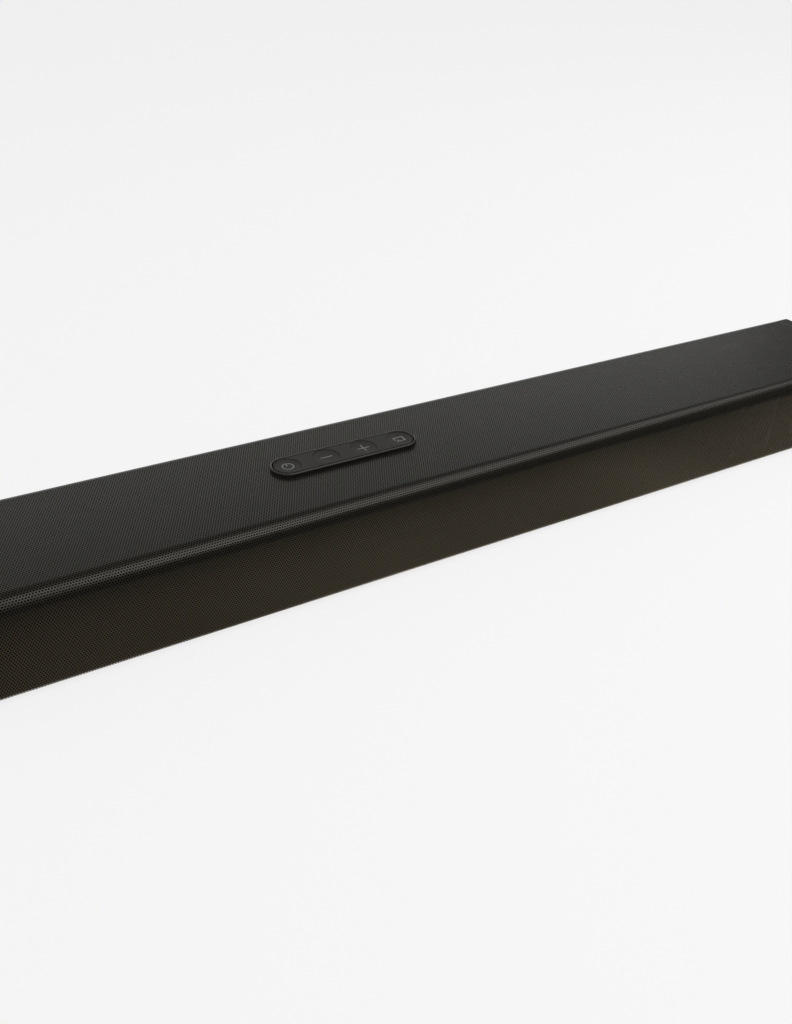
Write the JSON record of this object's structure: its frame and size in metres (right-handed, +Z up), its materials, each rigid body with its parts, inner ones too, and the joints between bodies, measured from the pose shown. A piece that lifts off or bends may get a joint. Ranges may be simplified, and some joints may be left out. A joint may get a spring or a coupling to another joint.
{
  "type": "soundbar",
  "caption": "Long black soundbar: perforated steel skin over top and front, raised rubber control pad with sprung keys, socket bay, wall keyholes and bass ports in the back.",
  "frame": {"origin": "under the middle of the bar, on the surface that its feet stand on", "axes": "+X along the bar to the right as a listener sees it, +Y to the back, +Z up; the skin's front faces -Y"},
  "size_m": [0.94, 0.099, 0.0665],
  "materials": {
    "grille": "satin black powder coat on perforated steel",
    "cabinet": "black ABS, fine spark texture",
    "cap": "black ABS, fine texture",
    "pad_rim": "black, satin with a polished edge",
    "pad_rubber": "matte dark grey silicone",
    "foot_rubber": "matte black",
    "screw": "black oxide steel",
    "board": "green solder mask",
    "component": "black moulding compound",
    "frame_steel": "black stamped steel",
    "magnet": "ferrite and plated steel",
    "cone": "black pulp cone",
    "surround": "black butyl rubber",
    "spider": "treated cotton",
    "foam": "closed cell foam",
    "aluminium": "extruded, plain",
    "shield": "tinned can",
    "socket_shell": "plated shell",
    "lead": "twisted pair, flexible insulation",
    "ribbon": "flat flexible cable",
    "led": "clear epoxy",
    "receiver": "dark infrared-clear plastic"
  },
  "bodies": {
    "cabinet": {"amplifier_chip": "component", "aux_socket": "component", "board_capacitors": "component", "board_chokes": "component", "board_screws": "screw", "cabinet_screws": "screw", "dc_socket": "component", "driver_gaskets": "foam", "driver_left_inner_frame": "frame_steel", "driver_left_inner_magnet": "magnet", "driver_left_inner_spider": "spider", "driver_left_inner_surround": "surround", "driver_left_outer_frame": "frame_steel", "driver_left_outer_magnet": "magnet", "driver_left_outer_spider": "spider", "driver_left_outer_surround": "surround", "driver_right_inner_frame": "frame_steel", "driver_right_inner_magnet": "magnet", "driver_right_inner_spider": "spider", "driver_right_inner_surround": "surround", "driver_right_outer_frame": "frame_steel", "driver_right_outer_magnet": "magnet", "driver_right_outer_spider": "spider", "driver_right_outer_surround": "surround", "driver_screws": "screw", "end_cap_left": "cap", "end_cap_right": "cap", "front_cabinet": "cabinet", "grille": "grille", "hdmi_socket": "socket_shell", "heat_sink": "aluminium", "indicator_board": "board", "indicator_leds": "led", "key_board": "board", "key_board_screws": "screw", "key_ribbon": "ribbon", "key_switches": "component", "main_board": "board", "optical_socket": "component", "pad_bezel": "pad_rim", "pad_face": "pad_rubber", "port_tube_left": "cabinet", "port_tube_right": "cabinet", "rear_cover": "cabinet", "remote_receiver": "receiver", "rubber_feet": "foot_rubber", "socket_panel": "pad_rim", "speaker_lead_left": "lead", "speaker_lead_right": "lead", "usb_socket": "socket_shell", "wireless_module": "shield"},
    "key_power": {"key_power": "pad_rubber"},
    "key_volume_down": {"key_volume_down": "pad_rubber"},
    "key_volume_up": {"key_volume_up": "pad_rubber"},
    "key_source": {"key_source": "pad_rubber"},
    "driver_left_outer_cone": {"driver_left_outer_cone": "cone"},
    "driver_left_inner_cone": {"driver_left_inner_cone": "cone"},
    "driver_right_outer_cone": {"driver_right_outer_cone": "cone"},
    "driver_right_inner_cone": {"driver_right_inner_cone": "cone"}
  },
  "joints": [
    {"name": "key_power_press", "type": "slide", "parent": "cabinet", "child": "key_power", "axis": [0, 0, -1], "range_m": [0, 0.0004], "stiffness_N_per_m": 1500, "springref_m": -0.0001},
    {"name": "key_volume_down_press", "type": "slide", "parent": "cabinet", "child": "key_volume_down", "axis": [0, 0, -1], "range_m": [0, 0.0004], "stiffness_N_per_m": 1500, "springref_m": -0.0001},
    {"name": "key_volume_up_press", "type": "slide", "parent": "cabinet", "child": "key_volume_up", "axis": [0, 0, -1], "range_m": [0, 0.0004], "stiffness_N_per_m": 1500, "springref_m": -0.0001},
    {"name": "key_source_press", "type": "slide", "parent": "cabinet", "child": "key_source", "axis": [0, 0, -1], "range_m": [0, 0.0004], "stiffness_N_per_m": 1500, "springref_m": -0.0001},
    {"name": "driver_left_outer_travel", "type": "slide", "parent": "cabinet", "child": "driver_left_outer_cone", "axis": [0, -1, 0], "range_m": [-0.0015, 0.0015], "stiffness_N_per_m": 900, "deforming": ["driver_left_outer_surround", "driver_left_outer_spider"]},
    {"name": "driver_left_inner_travel", "type": "slide", "parent": "cabinet", "child": "driver_left_inner_cone", "axis": [0, -1, 0], "range_m": [-0.0015, 0.0015], "stiffness_N_per_m": 900, "deforming": ["driver_left_inner_surround", "driver_left_inner_spider"]},
    {"name": "driver_right_outer_travel", "type": "slide", "parent": "cabinet", "child": "driver_right_outer_cone", "axis": [0, -1, 0], "range_m": [-0.0015, 0.0015], "stiffness_N_per_m": 900, "deforming": ["driver_right_outer_surround", "driver_right_outer_spider"]},
    {"name": "driver_right_inner_travel", "type": "slide", "parent": "cabinet", "child": "driver_right_inner_cone", "axis": [0, -1, 0], "range_m": [-0.0015, 0.0015], "stiffness_N_per_m": 900, "deforming": ["driver_right_inner_surround", "driver_right_inner_spider"]}
  ]
}
